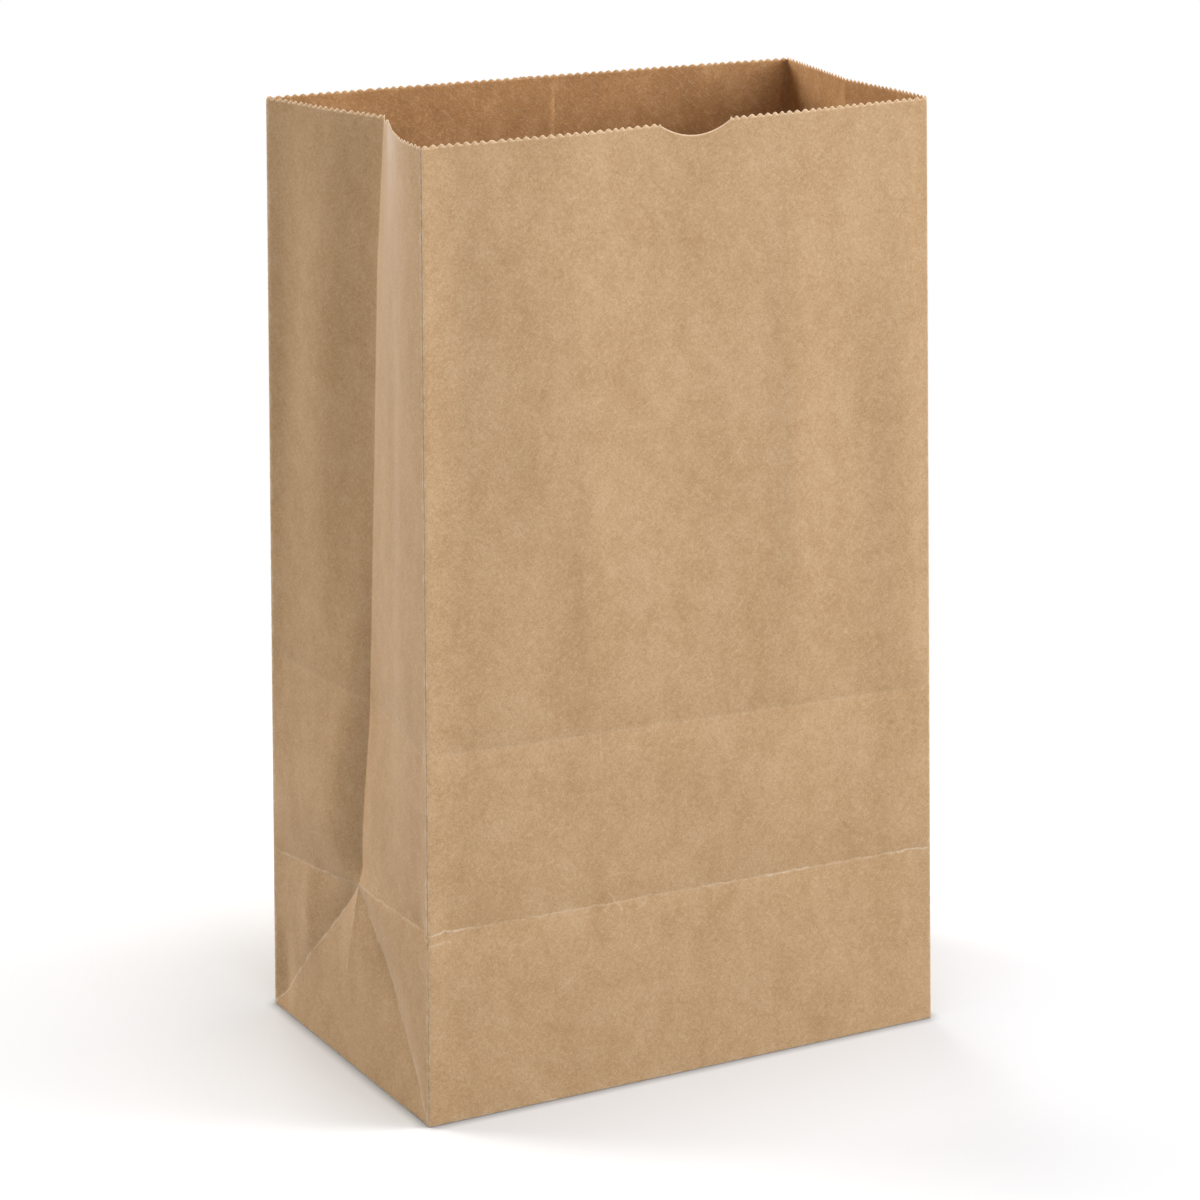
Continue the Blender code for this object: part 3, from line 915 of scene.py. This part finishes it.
def kraft_fibres():
    """Fibres and clouds of kraft pulp: a tone about the middle one, pale and dark fibres, and a height."""
    inputs = {"Sheet": ("Vector", None), "Cloudiness": ("Float", 1.0)}
    outputs = {"Tone": "Float", "Pale Fibres": "Float", "Dark Fibres": "Float", "Height": "Float"}
    group, nodes, given, made = node_group("kraft fibres", inputs, outputs)
    place = given["Sheet"]

    def mottled(mottling):
        """The noise of one size of mottling, and what it adds to the tone."""
        spot = stretched(nodes, place, mottling.turn, mottling.size)
        value = nodes.noise(spot, 1.0, mottling.detail, mottling.roughness, mottling.distortion)
        return value, nodes.math("MULTIPLY", nodes.math("SUBTRACT", value, MIDDLE_TONE), mottling.share)

    def thin(fibres):
        line = nodes.noise(stretched(nodes, place, fibres.turn, fibres.size), 1.0, 0.0, 0.5, FIBRE_BEND)
        return nodes.ramp(line, fibres.level, fibres.level + FIBRE_EDGE)

    grain, grain_tone = mottled(GRAIN)
    felt, felt_tone = mottled(FELT)
    fine = nodes.math("ADD", grain_tone, felt_tone)
    cloudy = nodes.math("ADD", mottled(CLOUDS)[1], mottled(BROAD)[1])
    tone = nodes.math("MULTIPLY_ADD", cloudy, given["Cloudiness"], fine)
    raised_grain = nodes.math("MULTIPLY", grain, GRAIN_HEIGHT)
    raised_felt = nodes.math("MULTIPLY", felt, FELT_HEIGHT)
    nodes.put(nodes.math("ADD", tone, MIDDLE_TONE), made["Tone"])
    nodes.put(thin(PALE_FIBRES), made["Pale Fibres"])
    nodes.put(thin(DARK_FIBRES), made["Dark Fibres"])
    nodes.put(nodes.math("ADD", raised_grain, raised_felt), made["Height"])
    return group


def worn_crease():
    """The pale line that a fold leaves along a straight run of the sheet."""
    inputs = {
        "Place": ("Vector", None),
        "Start": ("Vector", None),
        "Line": ("Vector", None),
        "Width": ("Float", 0.0005),
        "Strength": ("Float", 0.5),
    }
    group, nodes, given, made = node_group("worn crease", inputs, {"Wear": "Float"})
    reach = nodes.vector("SUBTRACT", given["Place"], given["Start"])
    along = nodes.vector("DOT_PRODUCT", reach, given["Line"])
    length = nodes.vector("DOT_PRODUCT", given["Line"], given["Line"])
    nearest = nodes.vector("SCALE", given["Line"], scale=nodes.math("DIVIDE", along, length, clamp=True))
    away = nodes.vector("LENGTH", nodes.vector("SUBTRACT", reach, nearest))
    core = nodes.ramp(away, given["Width"], nodes.math("MULTIPLY", given["Width"], LINE_CORE))
    nodes.put(nodes.math("MULTIPLY", core, given["Strength"]), made["Wear"])
    return group


def all_wear(crease_group):
    """Every worn line of the sheet in one mask. The lines wander and are broken, as rubbed folds are."""
    inputs = {
        "Sheet": ("Vector", None),
        "Above First Crease": ("Float", 1.0),
        "Above Second Crease": ("Float", 1.0),
        "From Fold": ("Float", 1.0),
        "First Rub": ("Float", 0.5),
    }
    group, nodes, given, made = node_group("worn creases of the sheet", inputs, {"Wear": "Float"})
    wander = nodes.noise(given["Sheet"], WANDER_SCALE)
    shift = nodes.math("MULTIPLY", nodes.math("SUBTRACT", wander, 0.5), WANDER)

    def line(distance, width, strength):
        away = nodes.math("ABSOLUTE", nodes.math("ADD", distance, shift))
        return nodes.math("MULTIPLY", nodes.ramp(away, width, width * LINE_CORE), strength)

    total = line(given["Above First Crease"], FIRST_LINE, given["First Rub"])
    total = nodes.math("MAXIMUM", total, line(given["Above Second Crease"], SECOND_LINE, SECOND_RUB))
    total = nodes.math("MAXIMUM", total, line(given["From Fold"], FOLD_LINE, FOLD_RUB))
    shifted = nodes.add("ShaderNodeCombineXYZ")
    nodes.put(shift, shifted.inputs[0])
    nodes.put(shift, shifted.inputs[1])
    place = nodes.vector("ADD", given["Sheet"], shifted.outputs[0])
    for mark in small_marks():
        crease = nodes.add("ShaderNodeGroup", node_tree=crease_group)
        nodes.put(place, crease.inputs["Place"])
        crease.inputs["Start"].default_value = (*mark.start, 0.0)
        crease.inputs["Line"].default_value = (mark.end[0] - mark.start[0], mark.end[1] - mark.start[1], 0.0)
        crease.inputs["Width"].default_value = mark.width
        crease.inputs["Strength"].default_value = mark.strength
        total = nodes.math("MAXIMUM", total, crease.outputs["Wear"])
    rubbed_unevenly = nodes.noise(given["Sheet"], BREAK_SCALE, roughness=BREAK_ROUGHNESS)
    broken = nodes.ramp(rubbed_unevenly, *BREAKS)
    nodes.put(nodes.math("MULTIPLY", total, broken), made["Wear"])
    return group


# The finish of a side of the paper. Its roughness goes from the deep to the pale tone, worn is its colour
# where it is rubbed, and fray is how much of that colour shows beside the cut.
Finish = namedtuple(
    "Finish",
    "name deep middle pale fibre worn roughness gloss sheen wear_share fray cloudiness bump",
)
OUTSIDE = Finish(
    name="kraft paper outside",
    deep=(0.455, 0.279, 0.138, 1.0),
    middle=(0.552, 0.357, 0.196, 1.0),
    pale=(0.640, 0.445, 0.268, 1.0),
    fibre=(0.680, 0.500, 0.320, 1.0),
    worn=(0.760, 0.610, 0.440, 1.0),
    roughness=(0.44, 0.54),
    gloss=0.11,
    sheen=0.50,
    wear_share=1.0,
    fray=0.75,
    cloudiness=1.0,
    bump=0.00006,
)
# The inside's colours are darker and warmer than the outside's: partly its rougher face, partly painted shade
# and warm bounce light of the bag's inside.
INSIDE_WITH_PAINTED_SHADE = OUTSIDE._replace(
    name="kraft paper inside with painted shade",
    deep=(0.375, 0.202, 0.088, 1.0),
    middle=(0.480, 0.261, 0.112, 1.0),
    pale=(0.600, 0.365, 0.185, 1.0),
    roughness=(0.62, 0.78),
    gloss=0.08,
    sheen=0.0,
    wear_share=0.4,
    fray=0.35,
    cloudiness=1.5,
)
CUT_EDGE = OUTSIDE._replace(
    name="cut edge of kraft paper",
    deep=(0.580, 0.440, 0.300, 1.0),
    middle=(0.680, 0.530, 0.380, 1.0),
    pale=(0.760, 0.620, 0.470, 1.0),
    roughness=(0.75, 0.90),
    wear_share=0.0,
    fray=0.0,
)
SHEEN_ROUGHNESS = 0.22  # low, so that only surfaces seen edge-on turn pale
CUT_FRAY = 0.00035  # how far down from the cut its pale fibres show


def kraft_material(finish, fibre_group, wear_group):
    material = bpy.data.materials.new(finish.name)
    material.use_nodes = True
    nodes = Nodes(material.node_tree)
    shader = material.node_tree.nodes["Principled BSDF"]
    place = nodes.sheet("sheet")

    fibres = nodes.add("ShaderNodeGroup", node_tree=fibre_group)
    nodes.put(place, fibres.inputs["Sheet"])
    fibres.inputs["Cloudiness"].default_value = finish.cloudiness
    above_first, above_second = nodes.both("creases")
    below_cut, from_fold_line = nodes.both("edges")
    first_rub = nodes.both("rubbing")[0]
    wear = nodes.add("ShaderNodeGroup", node_tree=wear_group)
    for source, target in zip((place, above_first, above_second, from_fold_line, first_rub), wear.inputs):
        nodes.put(source, target)
    worn = nodes.math("MULTIPLY", wear.outputs["Wear"], finish.wear_share)
    frayed = nodes.ramp(below_cut, 0.0, CUT_FRAY, finish.fray, 0.0)

    tone = fibres.outputs["Tone"]
    pale_fibres = nodes.math("MULTIPLY", fibres.outputs["Pale Fibres"], FIBRE_STRENGTH)
    dark_fibres = nodes.math("MULTIPLY", fibres.outputs["Dark Fibres"], FIBRE_STRENGTH)
    colour = nodes.blend(nodes.ramp(tone, DEEP_TONE, MIDDLE_TONE), finish.deep, finish.middle)
    colour = nodes.blend(nodes.ramp(tone, MIDDLE_TONE, PALE_TONE), colour, finish.pale)
    colour = nodes.blend(pale_fibres, colour, finish.fibre)
    colour = nodes.blend(dark_fibres, colour, finish.deep)
    colour = nodes.blend(nodes.math("MAXIMUM", worn, frayed), colour, finish.worn)
    nodes.put(colour, shader.inputs["Base Color"])

    nodes.put(nodes.ramp(tone, DEEP_TONE, PALE_TONE, *finish.roughness), shader.inputs["Roughness"])
    bump = nodes.add("ShaderNodeBump")
    bump.inputs["Strength"].default_value = 1.0
    bump.inputs["Distance"].default_value = finish.bump
    nodes.put(fibres.outputs["Height"], bump.inputs["Height"])
    nodes.put(bump.outputs["Normal"], shader.inputs["Normal"])
    shader.inputs["Metallic"].default_value = 0.0
    shader.inputs["Specular IOR Level"].default_value = finish.gloss
    shader.inputs["Sheen Weight"].default_value = finish.sheen
    shader.inputs["Sheen Roughness"].default_value = SHEEN_ROUGHNESS
    return material


# The floor, which shows white to the camera and keeps the bag's soft shadow, with a painted contact shadow
# near the bag's foot
FLOOR_SIZE = 8.0
FLOOR_BOUNCE = (0.30, 0.30, 0.30, 1.0)  # darker for the light that it throws back on the bag
FLOOR_SHADE = (0.825, 0.835, 0.855)
# Painted contact shadow: how far out from the bag the floor's colour is darkened by ambient occlusion, and to
# what share of its shade
SOFT_PAINTED_SHADOW = (0.060, 0.88)
CLOSE_PAINTED_SHADOW = (0.0035, 0.50)
OPEN_BESIDE_WALL = 0.5  # beside an upright wall this share of the sky is open
SHADOW_REACH = (0.14, 0.32)  # the floor turns plain white between these distances from the bag's middle


def sees_background(nodes):
    """1 for the rays that show the background itself: camera, glossy and transmission rays."""
    path = nodes.add("ShaderNodeLightPath")
    glossy = nodes.math("ADD", path.outputs["Is Camera Ray"], path.outputs["Is Glossy Ray"])
    return nodes.math("ADD", glossy, path.outputs["Is Transmission Ray"], clamp=True)


def painted_contact_shade(nodes, reach, darkest):
    """Painted contact shadow: the share of its colour that the floor keeps near the bag's foot, from ambient
    occlusion.
    """
    open_sky = nodes.add("ShaderNodeAmbientOcclusion")
    open_sky.inputs["Distance"].default_value = reach
    return nodes.ramp(open_sky.outputs["AO"], OPEN_BESIDE_WALL, 1.0, darkest, 1.0)


def make_floor():
    material = bpy.data.materials.new("white floor")
    material.use_nodes = True
    nodes = Nodes(material.node_tree)
    material.node_tree.nodes.clear()
    bounce = nodes.add("ShaderNodeBsdfDiffuse")
    bounce.inputs["Color"].default_value = FLOOR_BOUNCE
    shade = nodes.add("ShaderNodeBsdfDiffuse")
    # Painted contact shadow: ambient occlusion darkens the floor's colour near the bag.
    painted_shade_near_bag = nodes.math("MULTIPLY", painted_contact_shade(nodes, *SOFT_PAINTED_SHADOW), painted_contact_shade(nodes, *CLOSE_PAINTED_SHADOW))
    nodes.put(nodes.vector("SCALE", FLOOR_SHADE, scale=painted_shade_near_bag), shade.inputs["Color"])
    white = nodes.add("ShaderNodeEmission")
    white.inputs["Strength"].default_value = 1.0
    from_bag = nodes.vector("LENGTH", nodes.add("ShaderNodeTexCoord").outputs["Object"])
    shown = nodes.add("ShaderNodeMixShader")
    nodes.put(nodes.ramp(from_bag, *SHADOW_REACH), shown.inputs[0])
    nodes.put(shade.outputs[0], shown.inputs[1])
    nodes.put(white.outputs[0], shown.inputs[2])
    chosen = nodes.add("ShaderNodeMixShader")
    nodes.put(sees_background(nodes), chosen.inputs[0])
    nodes.put(bounce.outputs[0], chosen.inputs[1])
    nodes.put(shown.outputs[0], chosen.inputs[2])
    output = nodes.add("ShaderNodeOutputMaterial")
    nodes.put(chosen.outputs[0], output.inputs["Surface"])

    bm = bmesh.new()
    bmesh.ops.create_grid(bm, x_segments=1, y_segments=1, size=FLOOR_SIZE / 2)
    mesh = bpy.data.meshes.new("floor")
    bm.to_mesh(mesh)
    bm.free()
    mesh.materials.append(material)
    floor = bpy.data.objects.new("floor", mesh)
    bpy.context.scene.collection.objects.link(floor)


# The studio: large soft lamps at the right, in front, above and behind. The room itself gives no light.
WHITE = (1.0, 1.0, 1.0)
WARM_WHITE = (1.0, 0.955, 0.885)
Lamp = namedtuple("Lamp", "name place size power colour")
LAMPS = (
    Lamp("right_softbox", (2.2, -1.1, 1.0), 1.2, 32.0, WHITE),
    Lamp("right_high_softbox", (1.6, -0.9, 2.0), 1.4, 18.0, WHITE),
    Lamp("front_fill", (0.2, -2.3, 0.4), 1.4, 25.0, WHITE),
    Lamp("top_softbox", (0.0, -0.3, 2.3), 1.6, 34.0, WHITE),
    Lamp("left_back_softbox", (-1.6, 1.7, 1.2), 1.4, 53.0, WARM_WHITE),
    Lamp("back_softbox", (0.3, 2.3, 1.4), 1.4, 24.0, WHITE),
)


def light_room():
    world = bpy.data.worlds.new("white studio")
    bpy.context.scene.world = world
    world.use_nodes = True
    nodes = Nodes(world.node_tree)
    background = world.node_tree.nodes["Background"]
    background.inputs["Color"].default_value = (1.0, 1.0, 1.0, 1.0)
    nodes.put(sees_background(nodes), background.inputs["Strength"])
    for lamp in LAMPS:
        light = bpy.data.lights.new(lamp.name, "AREA")
        light.shape = "DISK"
        light.size = lamp.size
        light.energy = lamp.power
        light.color = lamp.colour
        placed = bpy.data.objects.new(lamp.name, light)
        placed.location = lamp.place
        towards = Vector((0.0, 0.0, HEIGHT / 2)) - placed.location
        placed.rotation_euler = towards.to_track_quat("-Z", "Y").to_euler()
        bpy.context.scene.collection.objects.link(placed)


# The photograph's view of the bag
VIEW_YAW = math.radians(28.732)  # turned from looking along +Y
VIEW_PITCH = math.radians(15.718)  # looking down
VIEW_DISTANCE = 0.9676
VIEW_SLIDE = -0.00035  # moved sideways and up from looking at the bag's middle
VIEW_RISE = -0.00813
LENS_MM = 109.83
SENSOR_MM = 36.0


def place_camera():
    data = bpy.data.cameras.new("photo view")
    data.sensor_fit = "HORIZONTAL"
    data.sensor_width = SENSOR_MM
    data.lens = LENS_MM
    camera = bpy.data.objects.new("photo view", data)
    ahead = Vector((
        math.sin(VIEW_YAW) * math.cos(VIEW_PITCH),
        math.cos(VIEW_YAW) * math.cos(VIEW_PITCH),
        -math.sin(VIEW_PITCH),
    ))
    right = Vector((math.cos(VIEW_YAW), -math.sin(VIEW_YAW), 0.0))
    above = right.cross(ahead)
    middle = Vector((0.0, 0.0, HEIGHT / 2))
    camera.location = middle - ahead * VIEW_DISTANCE + right * VIEW_SLIDE + above * VIEW_RISE
    camera.rotation_euler = (math.pi / 2 - VIEW_PITCH, 0.0, -VIEW_YAW)
    bpy.context.scene.collection.objects.link(camera)
    bpy.context.scene.camera = camera


def build_scene():
    fibre_group = kraft_fibres()
    wear_group = all_wear(worn_crease())
    materials = [kraft_material(finish, fibre_group, wear_group) for finish in (OUTSIDE, INSIDE_WITH_PAINTED_SHADE, CUT_EDGE)]
    bag = make_bag(materials)
    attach(bag, "root")
    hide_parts("paper_bag")
    make_floor()
    light_room()
    place_camera()
    bpy.context.scene.view_settings.view_transform = "Standard"


build_scene()
